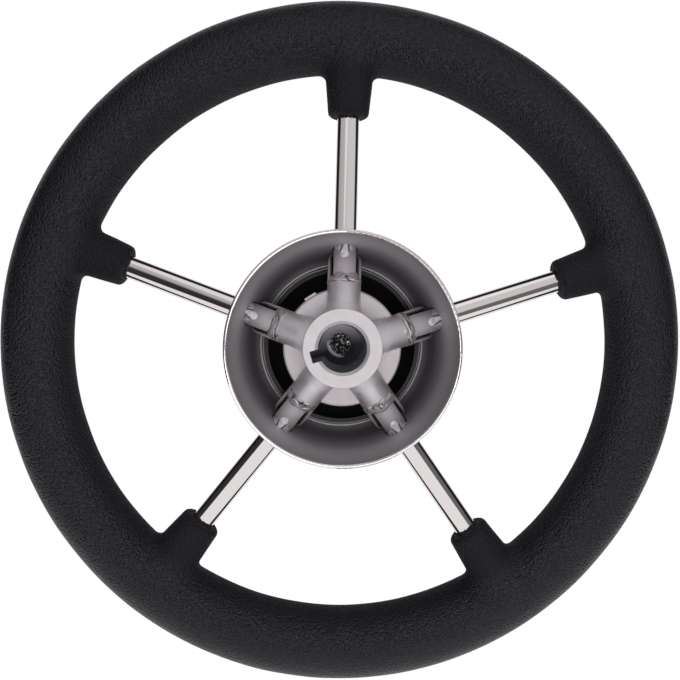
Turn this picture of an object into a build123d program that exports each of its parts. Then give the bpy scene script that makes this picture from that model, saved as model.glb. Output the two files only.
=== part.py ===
from build123d import *
from build123d.topology import SkipClean
import math
import os

os.makedirs("parts", exist_ok=True)

# A boat's steering wheel: five round spokes, dished towards the boat, run from a cast hub to a
# steel ring inside a moulded foam grip. A pressed bell hides the hub and a snap-in cap closes it.
# Millimetres and degrees. The wheel turns about Y. The origin is the centre of the shaft bore's
# mouth on the hub's rear face. +Y points at the helmsman, -Y at the dash, and +Z is up.

# Rim and grip
rim_radius = 124.8
grip_radius = 15.2
core_radius = 6.35
core_wall = 1.6
sleeve_end_radius = 91.5
sleeve_end_lean = 12
sleeve_tip_wall = 3.7
sleeve_root_wall = 6.6
sleeve_tip_round = 1.8
sleeve_root_round = 5

# Spokes
spoke_count = 5
first_spoke_angle = 90
spoke_radius = 4.5
spoke_dish = 25
spoke_apex = 0.8

# Hub casting
hub_length = 32
boss_radius = 15.5
boss_round = 0.25
disc_radius = 23.1
disc_rear = 9.5
disc_thickness = 4.5
disc_round = 0.9
nose_root_radius = 15.2
nose_radius = 13.6
socket_clearance = 0.75
socket_wall = 1.35
socket_floor = 20
relief_angle = 15.5
arm_bell_clearance = 0.3
gate_angle = 124
gate_width = 5
gate_stand = 0.7

# Shaft bore, a 1 in 12 taper with a square keyway
bore_mouth_radius = 9.525
bore_taper = 1 / 12
bore_chamfer = 1.15
keyway_width = 4.76
keyway_depth = 3.175
keyway_angle = 198

# Bell
bell_mouth_radius = 44.6
bell_front_radius = 32.4
bell_behind_hub = 5.5
bell_front = 29.5
bell_profile_radius = 75
bell_wall = 1.5
bell_edge_round = 0.7
bell_corner_round = 0.8
bell_inner_round = 0.4
bell_flange = 1.4
bell_flange_round = 0.4
bell_hole_clearance = 0.5

# Centre cap
cap_height = 17
cap_edge = 1.2
cap_wall = 2
cap_edge_round = 0.6
skirt_wall = 1.5
skirt_length = 4.5
skirt_clearance = 0.3
barb_stand = 1
barb_clearance = 0.3
barb_land = 0.4
tab_gap = 6
sprue_radius = 4.9
sprue_bore = 3.9
sprue_height = 1.6

# Weld beads
socket_weld_run = 4.5
socket_weld_crown = 0.5
core_weld_leg = 1.7
tack_radius = 1.7
tack_neck_radius = 1
tack_lift = 0.4
tack_length = 5.2
tack_seat = 0.6

# How far a cut runs past the metal that it cuts
overcut = 1

# Sizes that follow from the ones above
spoke_angles = [first_spoke_angle + 360 / spoke_count * i for i in range(spoke_count)]
dish_cos = math.cos(math.radians(spoke_dish))
dish_sin = math.sin(math.radians(spoke_dish))
rim_distance = rim_radius / dish_cos
rim_depth = spoke_apex + rim_distance * dish_sin
socket_radius = spoke_radius + socket_clearance
arm_radius = socket_radius + socket_wall
relief_start = disc_radius / dish_cos
bell_seat = bell_front + bell_wall
bell_opening_radius = bell_front_radius - bell_flange
bell_hole_radius = spoke_radius + bell_hole_clearance


def radial(angle):
    """Unit vector out from the wheel's axis, counted from +X towards +Z."""
    return Vector(math.cos(math.radians(angle)), 0, math.sin(math.radians(angle)))


def tangent(angle):
    """Unit vector along the rim at this angle."""
    return radial(angle + 90)


def spoke_direction(angle):
    """Unit vector along a spoke, outwards and forwards."""
    return radial(angle) * dish_cos + Vector(0, 1, 0) * dish_sin


def spoke_point(angle, distance):
    """Point on a spoke's axis, this far from where the spokes' axes meet."""
    return Vector(0, spoke_apex, 0) + spoke_direction(angle) * distance


def half_plane(angle):
    """Plane of the wheel's axis and one radius: x runs outwards, y towards the front."""
    return Plane(origin=(0, 0, 0), x_dir=radial(angle), z_dir=tangent(angle))


def along_spoke(angle):
    """Plane of one spoke and the wheel's axis: x runs along the spoke, y towards the front."""
    return Plane(origin=spoke_point(angle, 0), x_dir=spoke_direction(angle), z_dir=tangent(angle))


def across_spoke(angle, distance):
    """Plane square to a spoke."""
    return Plane(
        origin=spoke_point(angle, distance), x_dir=tangent(angle), z_dir=spoke_direction(angle)
    )


def spoke_axis(angle):
    return Axis(origin=spoke_point(angle, 0), direction=spoke_direction(angle))


# The bell's wall is an arc in section, struck from a centre on the far side of the wheel's axis.
chord = Vector(bell_front_radius - bell_mouth_radius, bell_front + bell_behind_hub)
chord_middle = Vector(
    (bell_front_radius + bell_mouth_radius) / 2, (bell_front - bell_behind_hub) / 2
)
chord_height = math.sqrt(bell_profile_radius**2 - chord.length**2 / 4)
bell_centre = chord_middle - Vector(chord.Y, -chord.X).normalized() * chord_height


def bell_radius(depth, offset=0):
    """Radius of the bell's inner face at this depth, or of a face this far outside it."""
    return bell_centre.X + math.sqrt(
        (bell_profile_radius + offset) ** 2 - (depth - bell_centre.Y) ** 2
    )


def bell_distance(height):
    """Distance along a spoke at which a line this far in front of its axis meets the bell."""
    start = Vector(-dish_sin * height, spoke_apex + dish_cos * height) - bell_centre
    along = start.X * dish_cos + start.Y * dish_sin
    return -along + math.sqrt(along**2 - start.length**2 + bell_profile_radius**2)


# Spokes, solid round bar, seated on the floor of the hub's sockets and coped to the core ring
for number, angle in enumerate(spoke_angles, 1):
    with BuildPart() as spoke:
        with BuildSketch(across_spoke(angle, socket_floor)):
            Circle(spoke_radius)
        extrude(amount=rim_distance - socket_floor)
        with BuildSketch(Plane.XY):
            with Locations((rim_radius, rim_depth)):
                Circle(core_radius)
        revolve(axis=Axis.Y, mode=Mode.SUBTRACT)
    spoke.part.label = f"spoke_{number}"
    export_step(spoke.part, f"parts/spoke_{number}.step")

# Core ring, a tube bent round and closed inside the grip
with BuildPart() as rim_core:
    with BuildSketch(Plane.XY):
        with Locations((rim_radius, rim_depth)):
            Circle(core_radius)
            Circle(core_radius - core_wall, mode=Mode.SUBTRACT)
    revolve(axis=Axis.Y)
rim_core.part.label = "rim_core"
export_step(rim_core.part, "parts/rim_core.step")

# Fillet welds that hold the spokes to the core ring: one bead, made about a spoke at angle 0,
# and a copy of it turned to each spoke
core_weld_radius = spoke_radius + core_weld_leg
core_weld_start = rim_distance - core_radius - core_weld_leg
with BuildPart() as core_bead:
    with BuildSketch(along_spoke(0)):
        with BuildLine():
            Polyline(
                (core_weld_start, spoke_radius),
                (core_weld_start + core_weld_leg, core_weld_radius),
                (rim_distance, core_weld_radius),
                (rim_distance, spoke_radius),
                close=True,
            )
        make_face()
    revolve(axis=spoke_axis(0))
    with BuildSketch(Plane.XY):
        with Locations((rim_radius, rim_depth)):
            Circle(core_radius)
    revolve(axis=Axis.Y, mode=Mode.SUBTRACT)
for number, angle in enumerate(spoke_angles, 1):
    with BuildPart() as core_weld:
        add(core_bead.part.rotate(Axis.Y, -angle))
    core_weld.part.label = f"core_weld_{number}"
    export_step(core_weld.part, f"parts/core_weld_{number}.step")

# Grip, moulded in one piece round the core ring and the outer ends of the spokes. One sector is
# made about a spoke at angle 0, with its sleeve, and the ring is as many of them as spokes.
sector_angle = 360 / spoke_count
sleeve_tip_radius = spoke_radius + sleeve_tip_wall
sleeve_root_radius = spoke_radius + sleeve_root_wall
sleeve_end_distance = sleeve_end_radius / dish_cos
sleeve_taper = (sleeve_root_radius - sleeve_tip_radius) / (rim_distance - sleeve_end_distance)
sleeve_blank_start = sleeve_end_distance - sleeve_tip_radius
with BuildPart() as grip_sector:
    with BuildSketch(half_plane(-sector_angle / 2)):
        with Locations((rim_radius, rim_depth)):
            Circle(grip_radius)
    revolve(axis=Axis.Y, revolution_arc=-sector_angle)
    with BuildSketch(along_spoke(0)):
        with BuildLine():
            Polyline(
                (sleeve_blank_start, 0),
                (sleeve_blank_start, sleeve_tip_radius - sleeve_taper * sleeve_tip_radius),
                (rim_distance, sleeve_root_radius),
                (rim_distance, 0),
                close=True,
            )
        make_face()
    revolve(axis=spoke_axis(0))
    split(
        bisect_by=Plane(
            origin=spoke_point(0, sleeve_end_distance),
            x_dir=(0, 0, 1),
            z_dir=Vector(1, 0, 0).rotate(Axis.Z, sleeve_end_lean),
        ),
        keep=Keep.TOP,
    )
    sleeve_root = grip_sector.edges().filter_by(lambda edge: edge.is_closed)
    fillet(
        sleeve_root.sort_by_distance(spoke_point(0, rim_distance - grip_radius))[0],
        radius=sleeve_root_round,
    )
    sleeve_tip = grip_sector.faces().sort_by(Axis.X)[0]
    fillet(sleeve_tip.edges(), radius=sleeve_tip_round)
    with BuildSketch(half_plane(-sector_angle / 2)):
        with Locations((rim_radius, rim_depth)):
            Circle(core_radius)
    revolve(axis=Axis.Y, revolution_arc=-sector_angle, mode=Mode.SUBTRACT)
    with BuildSketch(across_spoke(0, sleeve_blank_start)):
        Circle(spoke_radius)
    extrude(amount=rim_distance - sleeve_blank_start, mode=Mode.SUBTRACT)
    add(core_bead.part, mode=Mode.SUBTRACT)

# The sectors' seams stay in the ring's surface, because a torus with none can't be joined up
with SkipClean():
    with BuildPart() as grip:
        for angle in spoke_angles:
            add(grip_sector.part.rotate(Axis.Y, -angle))
grip.part.label = "grip"
export_step(grip.part, "parts/grip.step")

# Hub casting: a boss, disc and nose in one turned shape, with a socketed arm for each spoke
disc_front = disc_rear + disc_thickness
arm_blank = bell_distance(0) + arm_radius
with BuildPart() as hub:
    with BuildSketch(Plane.XY) as hub_section:
        with BuildLine():
            Polyline(
                (0, 0),
                (boss_radius, 0),
                (boss_radius, disc_rear),
                (disc_radius, disc_rear),
                (disc_radius, disc_front),
                (nose_root_radius, disc_front),
                (nose_radius, hub_length),
                (0, hub_length),
                close=True,
            )
        make_face()
        fillet(hub_section.vertices().sort_by_distance((boss_radius, 0))[0], boss_round)
        fillet(hub_section.vertices().sort_by_distance((disc_radius, disc_rear))[0], disc_round)
        fillet(hub_section.vertices().sort_by_distance((disc_radius, disc_front))[0], disc_round)
    revolve(axis=Axis.Y)

    # The stub left where the casting's gate was broken off the disc
    gate_plane = Plane(
        origin=(0, disc_rear + disc_round, 0), x_dir=radial(gate_angle), z_dir=(0, 1, 0)
    )
    with BuildSketch(gate_plane):
        with Locations((boss_radius, 0)):
            Rectangle(
                disc_radius + gate_stand - boss_radius, gate_width, align=(Align.MIN, Align.CENTER)
            )
    extrude(amount=disc_thickness - 2 * disc_round)

    for angle in spoke_angles:
        with BuildSketch(across_spoke(angle, 0)):
            Circle(arm_radius)
        extrude(amount=arm_blank)
    split(bisect_by=Plane.XZ, keep=Keep.BOTTOM)

    # Outside the disc the rear of each arm is relieved, which leaves a cradle under the spoke
    for angle in spoke_angles:
        with BuildSketch(along_spoke(angle)):
            with BuildLine():
                relief_height = (arm_blank - relief_start) * math.tan(math.radians(relief_angle))
                Polyline(
                    (relief_start, 0),
                    (relief_start, -arm_radius - overcut),
                    (arm_blank, -arm_radius - overcut),
                    (arm_blank, relief_height),
                    close=True,
                )
            make_face()
        extrude(amount=arm_radius + overcut, both=True, mode=Mode.SUBTRACT)
        with BuildSketch(across_spoke(angle, socket_floor)):
            Circle(socket_radius)
        extrude(amount=arm_blank, mode=Mode.SUBTRACT)

    # The arms stop just inside the bell
    with BuildSketch(Plane.XY):
        with BuildLine():
            arm_limit = ThreePointArc(
                (bell_radius(0, -arm_bell_clearance), 0),
                (bell_radius(bell_front / 2, -arm_bell_clearance), bell_front / 2),
                (bell_radius(bell_front, -arm_bell_clearance), bell_front),
            )
            Polyline(
                arm_limit @ 1,
                (arm_blank + arm_radius, bell_front),
                (arm_blank + arm_radius, 0),
                arm_limit @ 0,
            )
        make_face()
    revolve(axis=Axis.Y, mode=Mode.SUBTRACT)

    # Tapered bore and keyway
    with BuildSketch(Plane.XY):
        with BuildLine():
            Polyline(
                (0, 0),
                (bore_mouth_radius + bore_chamfer, 0),
                (bore_mouth_radius - bore_chamfer * bore_taper / 2, bore_chamfer),
                (bore_mouth_radius - hub_length * bore_taper / 2, hub_length),
                (0, hub_length),
                close=True,
            )
        make_face()
    revolve(axis=Axis.Y, mode=Mode.SUBTRACT)
    with BuildSketch(Plane(origin=(0, 0, 0), x_dir=radial(keyway_angle), z_dir=(0, 1, 0))):
        Rectangle(
            bore_mouth_radius + keyway_depth, keyway_width, align=(Align.MIN, Align.CENTER)
        )
    extrude(amount=hub_length, mode=Mode.SUBTRACT)
hub.part.label = "hub"
export_step(hub.part, "parts/hub.step")

# Bell, pressed and polished sheet, open behind, turned in to a flange in front
with BuildPart() as bell:
    with BuildSketch(Plane.XY) as bell_section:
        with BuildLine():
            inner_face = ThreePointArc(
                (bell_mouth_radius, -bell_behind_hub),
                (bell_radius(bell_front / 2), bell_front / 2),
                (bell_front_radius, bell_front),
            )
            outer_face = ThreePointArc(
                (bell_radius(-bell_behind_hub, bell_wall), -bell_behind_hub),
                (bell_radius(bell_front / 2, bell_wall), bell_front / 2),
                (bell_radius(bell_seat, bell_wall), bell_seat),
            )
            Polyline(
                inner_face @ 1,
                (bell_opening_radius, bell_front),
                (bell_opening_radius, bell_seat),
                outer_face @ 1,
            )
            Line(outer_face @ 0, inner_face @ 0)
        make_face()
        fillet(bell_section.vertices().group_by(Axis.Y)[0], bell_edge_round)
        fillet(
            bell_section.vertices().sort_by_distance(outer_face @ 1)[0], bell_corner_round
        )
        fillet(
            bell_section.vertices().sort_by_distance(inner_face @ 1)[0], bell_inner_round
        )
        fillet(
            bell_section.vertices().sort_by_distance((bell_opening_radius, bell_front))[0],
            bell_flange_round,
        )
    revolve(axis=Axis.Y)
    for angle in spoke_angles:
        with BuildSketch(across_spoke(angle, bell_distance(0))):
            Circle(bell_hole_radius)
        extrude(amount=2 * bell_hole_radius, both=True, mode=Mode.SUBTRACT)
bell.part.label = "bell"
export_step(bell.part, "parts/bell.step")

# Beads that hold each spoke in its socket, laid from the arm's end over the spoke's rear half
for number, angle in enumerate(spoke_angles, 1):
    with BuildPart() as socket_weld:
        with BuildSketch(along_spoke(angle)):
            with BuildLine():
                toe = (relief_start + socket_weld_run, -spoke_radius)
                crown = (relief_start, -arm_radius)
                root = (relief_start, -spoke_radius)
                SagittaArc(crown, toe, -socket_weld_crown)
                Polyline(toe, root, crown)
            make_face()
        revolve(axis=spoke_axis(angle))
        split(
            bisect_by=Plane(
                origin=spoke_point(angle, 0),
                x_dir=spoke_direction(angle),
                z_dir=along_spoke(angle).y_dir,
            ),
            keep=Keep.BOTTOM,
        )
    socket_weld.part.label = f"socket_weld_{number}"
    export_step(socket_weld.part, f"parts/socket_weld_{number}.step")

# Tacks that hold the bell to the spokes, one on the rear of each, inside the bell
tack_height = -spoke_radius - tack_lift
tack_start = bell_distance(tack_height) - tack_length
tack_end = bell_distance(tack_height) + tack_seat
for number, angle in enumerate(spoke_angles, 1):
    with BuildPart() as bell_tack:
        with BuildSketch(along_spoke(angle)):
            with BuildLine():
                nose = CenterArc((tack_start + tack_radius, tack_height), tack_radius, 180, 90)
                Polyline(
                    nose @ 1,
                    (tack_end, tack_height - tack_neck_radius),
                    (tack_end, tack_height),
                    nose @ 0,
                )
            make_face()
        revolve(
            axis=Axis(
                origin=along_spoke(angle).from_local_coords((0, tack_height)),
                direction=spoke_direction(angle),
            )
        )
        with BuildSketch(across_spoke(angle, tack_start - overcut)):
            Circle(spoke_radius)
        extrude(amount=tack_end - tack_start + 2 * overcut, mode=Mode.SUBTRACT)
        add(bell.part, mode=Mode.SUBTRACT)
    bell_tack.part.label = f"bell_tack_{number}"
    export_step(bell_tack.part, f"parts/bell_tack_{number}.step")

# Centre cap, a moulded dome that snaps into the bell's front opening
cap_radius = bell_radius(bell_seat, bell_wall)
dome_height = cap_height - cap_edge
dome_radius = (cap_radius**2 + dome_height**2) / (2 * dome_height)
dome_centre = bell_seat + cap_height - dome_radius
cap_inner_top = bell_seat + cap_height - cap_wall
skirt_outer = bell_opening_radius - skirt_clearance
skirt_inner = skirt_outer - skirt_wall
skirt_top = dome_centre + math.sqrt((dome_radius - cap_wall) ** 2 - skirt_inner**2)
skirt_end = bell_seat - skirt_length
barb_top = bell_front - barb_clearance
with BuildPart() as centre_cap:
    with BuildSketch(Plane.XY) as cap_section:
        with BuildLine():
            RadiusArc(
                (0, bell_seat + cap_height), (cap_radius, bell_seat + cap_edge), dome_radius
            )
            Polyline(
                (cap_radius, bell_seat + cap_edge),
                (cap_radius, bell_seat),
                (skirt_outer, bell_seat),
                (skirt_outer, barb_top),
                (skirt_outer + barb_stand, barb_top),
                (skirt_outer + barb_stand, barb_top - barb_land),
                (skirt_outer, skirt_end),
                (skirt_inner, skirt_end),
                (skirt_inner, skirt_top),
            )
            RadiusArc((skirt_inner, skirt_top), (0, cap_inner_top), -(dome_radius - cap_wall))
            Line((0, cap_inner_top), (0, bell_seat + cap_height))
        make_face()
        fillet(
            cap_section.vertices().sort_by_distance((cap_radius, bell_seat + cap_edge))[0],
            cap_edge_round,
        )
    revolve(axis=Axis.Y)

    # Slots part the skirt into spring tabs
    slot_inner = skirt_inner - overcut
    slot_outer = skirt_outer + barb_stand + overcut
    for angle in spoke_angles:
        with BuildSketch(half_plane(angle)):
            with Locations((slot_inner, skirt_end)):
                Rectangle(slot_outer - slot_inner, skirt_length, align=Align.MIN)
        extrude(amount=tab_gap / 2, both=True, mode=Mode.SUBTRACT)

    # The ring round the rough break of the moulding's sprue
    with BuildSketch(Plane.XY):
        with Locations((sprue_bore, cap_inner_top - sprue_height)):
            Rectangle(
                sprue_radius - sprue_bore, sprue_height + cap_wall / 2, align=Align.MIN
            )
    revolve(axis=Axis.Y)
centre_cap.part.label = "centre_cap"
export_step(centre_cap.part, "parts/centre_cap.step")
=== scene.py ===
"""Dresses a boat's steering wheel in its own finishes: a leather-grained foam grip, polished
spokes, a blasted casting with rough weld beads, a pressed bell and a moulded cap. Lengths are in
metres. Y runs along the axle to the helmsman, and the rear is the side that faces the dash."""

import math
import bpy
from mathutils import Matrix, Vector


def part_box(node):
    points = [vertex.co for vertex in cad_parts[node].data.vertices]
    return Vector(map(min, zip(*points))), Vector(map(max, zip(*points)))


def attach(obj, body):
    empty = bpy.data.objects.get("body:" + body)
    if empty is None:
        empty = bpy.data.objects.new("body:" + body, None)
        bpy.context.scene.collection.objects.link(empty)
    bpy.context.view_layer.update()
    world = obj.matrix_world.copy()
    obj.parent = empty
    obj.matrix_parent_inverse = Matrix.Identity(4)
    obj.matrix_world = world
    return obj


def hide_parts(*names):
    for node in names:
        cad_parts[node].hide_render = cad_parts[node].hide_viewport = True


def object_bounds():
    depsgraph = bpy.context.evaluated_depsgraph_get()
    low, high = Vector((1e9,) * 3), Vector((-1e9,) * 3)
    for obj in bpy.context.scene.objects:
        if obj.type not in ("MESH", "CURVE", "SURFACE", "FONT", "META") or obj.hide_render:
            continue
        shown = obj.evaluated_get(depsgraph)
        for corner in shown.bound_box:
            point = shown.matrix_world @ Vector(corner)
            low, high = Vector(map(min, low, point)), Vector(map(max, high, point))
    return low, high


bl_info = {
    "name": "Boat Steering Wheel",
    "version": (1, 0, 0),
    "blender": (4, 5, 0),
    "location": "View3D > Sidebar > Steering Wheel",
    "description": "Builds and finishes the pieces of a spoked boat steering wheel",
    "category": "Object",
}

from functools import partial

import bpy
import numpy as np
from bpy.props import FloatProperty, FloatVectorProperty, PointerProperty
from bpy.types import Operator, Panel, PropertyGroup
from mathutils import Matrix, Vector, noise

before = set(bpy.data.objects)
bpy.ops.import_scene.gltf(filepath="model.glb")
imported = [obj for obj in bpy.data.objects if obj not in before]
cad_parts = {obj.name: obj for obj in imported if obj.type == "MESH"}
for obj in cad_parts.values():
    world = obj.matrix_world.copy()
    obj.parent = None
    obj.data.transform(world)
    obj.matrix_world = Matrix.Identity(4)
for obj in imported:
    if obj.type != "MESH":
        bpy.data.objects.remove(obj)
cad_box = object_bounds()

MM = 0.001
BODY = "root"
SPOKE_ANGLES = [math.radians(90 + 72 * i) for i in range(5)]

# Colours of buffed steel, and of the painted shade on steel in the cradles' slits and on the rods'
# sides turned away inside the bell
POLISHED = "#ded8d8"
PAINTED_SHADE = "#5e5a5b"

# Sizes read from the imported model
core_low, core_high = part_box("rim_core")
grip_low, grip_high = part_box("grip")
spoke_low, spoke_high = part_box("spoke_1")
_, cap_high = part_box("centre_cap")
CORE_RADIUS = (core_high.y - core_low.y) / 2
RIM_RADIUS = (core_high.x - core_low.x) / 2 - CORE_RADIUS
RIM_DEPTH = (core_high.y + core_low.y) / 2
GRIP_RADIUS = (grip_high.x - grip_low.x) / 2 - RIM_RADIUS
SPOKE_RADIUS = (spoke_high.x - spoke_low.x) / 2


def linear(colour):
    """Linear RGBA of an sRGB hex colour."""
    parts = [int(colour[i:i + 2], 16) / 255 for i in (1, 3, 5)]
    return [c / 12.92 if c <= 0.04045 else ((c + 0.055) / 1.055) ** 2.4 for c in parts] + [1.0]


def add_node(tree, kind, inputs=None, **settings):
    """Adds one node with its settings. Each of its inputs gets a value, another node's socket, or
    another node, whose first output in use is linked."""
    made = tree.nodes.new(kind)
    for key, value in settings.items():
        setattr(made, key, value)
    for key, value in (inputs or {}).items():
        if isinstance(value, bpy.types.Node):
            value = next(socket for socket in value.outputs if socket.enabled)
        if isinstance(value, bpy.types.NodeSocket):
            tree.links.new(value, made.inputs[key])
        else:
            made.inputs[key].default_value = value
    return made


def start_material(name):
    """An empty material, what adds a node to it, and the object's own coordinates, in metres."""
    material = bpy.data.materials.new(name)
    material.use_nodes = True
    material.node_tree.nodes.clear()
    node = partial(add_node, material.node_tree)
    return material, node, node("ShaderNodeTexCoord").outputs["Object"]


def finished(material, surface):
    """The material with this shader as its surface."""
    add_node(material.node_tree, "ShaderNodeOutputMaterial", {"Surface": surface})
    return material


# Masks: zero up to the near value and one from the far value on


def axle_distance(node, place):
    """Distance from the wheel's axle, for the masks."""
    flat = node("ShaderNodeVectorMath", {0: place, 1: (1, 0, 1)}, operation="MULTIPLY")
    return node("ShaderNodeVectorMath", {0: flat}, operation="LENGTH")


def from_axle(node, place, near, far):
    """By the distance from the wheel's axle."""
    return node(
        "ShaderNodeMapRange",
        {"Value": axle_distance(node, place), "From Min": near, "From Max": far},
    )


def along_axle(node, place, near, far):
    """By the place along the wheel's axle."""
    level = node("ShaderNodeSeparateXYZ", {0: place}).outputs["Y"]
    return node("ShaderNodeMapRange", {"Value": level, "From Min": near, "From Max": far})


def from_spoke(node, place, near, far):
    """By the distance from the nearest spoke's axis."""
    nearest = 1.0  # farther than any point of the wheel
    for angle in SPOKE_ANGLES:
        middle, along, _, _ = spoke_frame(angle, bpy.context.scene.wheel_spokes)
        relative = node("ShaderNodeVectorMath", {0: place, 1: middle}, operation="SUBTRACT")
        square = node("ShaderNodeVectorMath", {0: relative, 1: along}, operation="CROSS_PRODUCT")
        distance = node("ShaderNodeVectorMath", {0: square}, operation="LENGTH")
        nearest = node("ShaderNodeMath", {0: nearest, 1: distance}, operation="MINIMUM")
    return node("ShaderNodeMapRange", {"Value": nearest, "From Min": near, "From Max": far})


def from_bell(node, place, near, far):
    """By the distance outside the bell's inner face, which is less than nothing inside it."""
    bell = bpy.context.scene.wheel_bell
    level = node("ShaderNodeSeparateXYZ", {0: place}).outputs["Y"]
    section = node("ShaderNodeCombineXYZ", {"X": axle_distance(node, place), "Y": level, "Z": 0.0})
    distance = node(
        "ShaderNodeVectorMath", {0: section, 1: (bell.arc_aside, bell.arc_depth, 0)},
        operation="DISTANCE",
    )
    return node(
        "ShaderNodeMapRange",
        {"Value": distance, "From Min": bell.arc + near, "From Max": bell.arc + far},
    )


def facing_rear(node, near, far):
    """By how far the surface faces the rear: one squarely, less than nothing turned away."""
    facing = node("ShaderNodeNewGeometry").outputs["True Normal"]
    rear = node("ShaderNodeVectorMath", {0: facing, 1: (0, -1, 0)}, operation="DOT_PRODUCT")
    return node("ShaderNodeMapRange", {"Value": rear, "From Min": near, "From Max": far})


# Finishes that several materials share


def oxide_and_shade_steel(node, colour="#2b2726"):
    """Dark steel: oxide in the weld folds, painted shade in slits, gaps and turned-away faces."""
    return node(
        "ShaderNodeBsdfPrincipled",
        {"Base Color": linear(colour), "Metallic": 1.0, "Roughness": 0.5},
    )


def blasted(node, place, dark, light, roughness=0.66, relief=0.08 * MM):
    """Bead-blasted stainless steel: thousands of tiny dents scatter the light to an even satin
    grey, a little cloudy from place to place. The dents are drawn 0.5 mm wide, coarser than the
    real ones, to show at all."""
    sand = node("ShaderNodeTexNoise", {"Vector": place, "Scale": 1 / (0.5 * MM), "Detail": 3.0})
    cloud = node("ShaderNodeTexNoise", {"Vector": place, "Scale": 1 / (5 * MM), "Detail": 4.0})
    normal = node("ShaderNodeBump", {"Height": sand, "Strength": 1.0, "Distance": relief})
    colour = node(
        "ShaderNodeMix", {"Factor": cloud, "A": linear(dark), "B": linear(light)}, data_type="RGBA"
    )
    return node(
        "ShaderNodeBsdfPrincipled",
        {"Base Color": colour, "Metallic": 1.0, "Roughness": roughness, "Normal": normal},
    )


# Property groups


class SpokeSizes(PropertyGroup):
    dish: FloatProperty(
        name="Dish", description="How far the spokes lean towards the helmsman",
        default=math.radians(25), subtype="ANGLE",
    )
    apex: FloatProperty(
        name="Apex", description="Where the spokes' axes meet, in front of the hub's rear face",
        default=0.8 * MM, subtype="DISTANCE",
    )


class GripSizes(PropertyGroup):
    sleeve_end: FloatProperty(
        name="Sleeve end", description="Radius on the wheel at which a spoke's sleeve ends",
        default=91.5 * MM, subtype="DISTANCE",
    )
    sleeve_lean: FloatProperty(
        name="Sleeve lean", description="Tilt of the sleeve's end face from square to the rim",
        default=math.radians(12), subtype="ANGLE",
    )
    sleeve_tip: FloatProperty(
        name="Sleeve tip", description="Radius of the sleeve at its end",
        default=8.2 * MM, subtype="DISTANCE",
    )
    sleeve_root: FloatProperty(
        name="Sleeve root", description="Radius of the sleeve at the rim's centre line",
        default=11.1 * MM, subtype="DISTANCE",
    )
    tip_round: FloatProperty(
        name="Tip round", description="Rounding of the sleeve's end", default=1.8 * MM,
        subtype="DISTANCE",
    )
    root_round: FloatProperty(
        name="Root round", description="Fillet between the sleeve and the rim", default=5 * MM,
        subtype="DISTANCE",
    )
    mesh_size: FloatProperty(
        name="Mesh size", description="Length of the mesh's edges", default=1.16 * MM,
        subtype="DISTANCE",
    )
    colour: FloatVectorProperty(
        name="Colour", description="Colour of the foam's skin", size=4, subtype="COLOR",
        default=linear("#17141f"),
    )
    grain: FloatProperty(
        name="Grain", description="Width of one pebble of the leather grain", default=0.8 * MM,
        subtype="DISTANCE",
    )


class HubSizes(PropertyGroup):
    relief: FloatProperty(
        name="Relief", description="Slope of the arms' open part towards the helmsman",
        default=math.radians(15.5), subtype="ANGLE",
    )
    lip_start: FloatProperty(
        name="Lip start", description="Distance along a spoke at which a cradle's edges start",
        default=25.5 * MM, subtype="DISTANCE",
    )
    lip_bend: FloatProperty(
        name="Lip bend", description="Distance along a spoke at which the edges begin to fall",
        default=33.0 * MM, subtype="DISTANCE",
    )
    lip_end: FloatProperty(
        name="Lip end", description="Distance along a spoke at which the edges end",
        default=41.6 * MM, subtype="DISTANCE",
    )
    lip_drop: FloatProperty(
        name="Lip drop", description="How far the edges fall by their end", default=3.9 * MM,
        subtype="DISTANCE",
    )
    lip_inner: FloatProperty(
        name="Lip inner radius", description="Distance of the edges' inner face from the spoke's "
        "axis", default=5.15 * MM, subtype="DISTANCE",
    )
    lip_outer: FloatProperty(
        name="Lip outer radius", description="Distance of the edges' outer face from the spoke's "
        "axis", default=6.58 * MM, subtype="DISTANCE",
    )


class BeadSizes(PropertyGroup):
    start: FloatProperty(
        name="Start", description="Distance along a spoke at which its socket bead starts",
        default=24.6 * MM, subtype="DISTANCE",
    )
    length: FloatProperty(
        name="Length", description="Length of a socket bead along its spoke", default=6.0 * MM,
        subtype="DISTANCE",
    )
    height: FloatProperty(
        name="Height", description="Height of a socket bead over the spoke at its start",
        default=2.0 * MM, subtype="DISTANCE",
    )
    groove: FloatProperty(
        name="Groove", description="Depth of the curling lines between the laid metal",
        default=0.4 * MM, subtype="DISTANCE",
    )


class BellSizes(PropertyGroup):
    arc: FloatProperty(
        name="Arc", description="Radius of the arc that the wall's inner face follows",
        default=75 * MM, subtype="DISTANCE",
    )
    arc_aside: FloatProperty(
        name="Arc's centre, aside", description="Where the arc's centre lies from the axle, on the "
        "far side", default=-30.12 * MM, subtype="DISTANCE",
    )
    arc_depth: FloatProperty(
        name="Arc's centre, depth", description="Where the arc's centre lies along the axle",
        default=-11.92 * MM, subtype="DISTANCE",
    )


class CapSizes(PropertyGroup):
    break_radius: FloatProperty(
        name="Break radius", description="Radius of the rough break of the sprue",
        default=4.45 * MM, subtype="DISTANCE",
    )
    break_depth: FloatProperty(
        name="Break depth", description="Depth of the break's foot under the cap's top",
        default=3.6 * MM, subtype="DISTANCE",
    )
    break_height: FloatProperty(
        name="Break height", description="Height of the break's crests over its foot",
        default=1.4 * MM, subtype="DISTANCE",
    )


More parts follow.
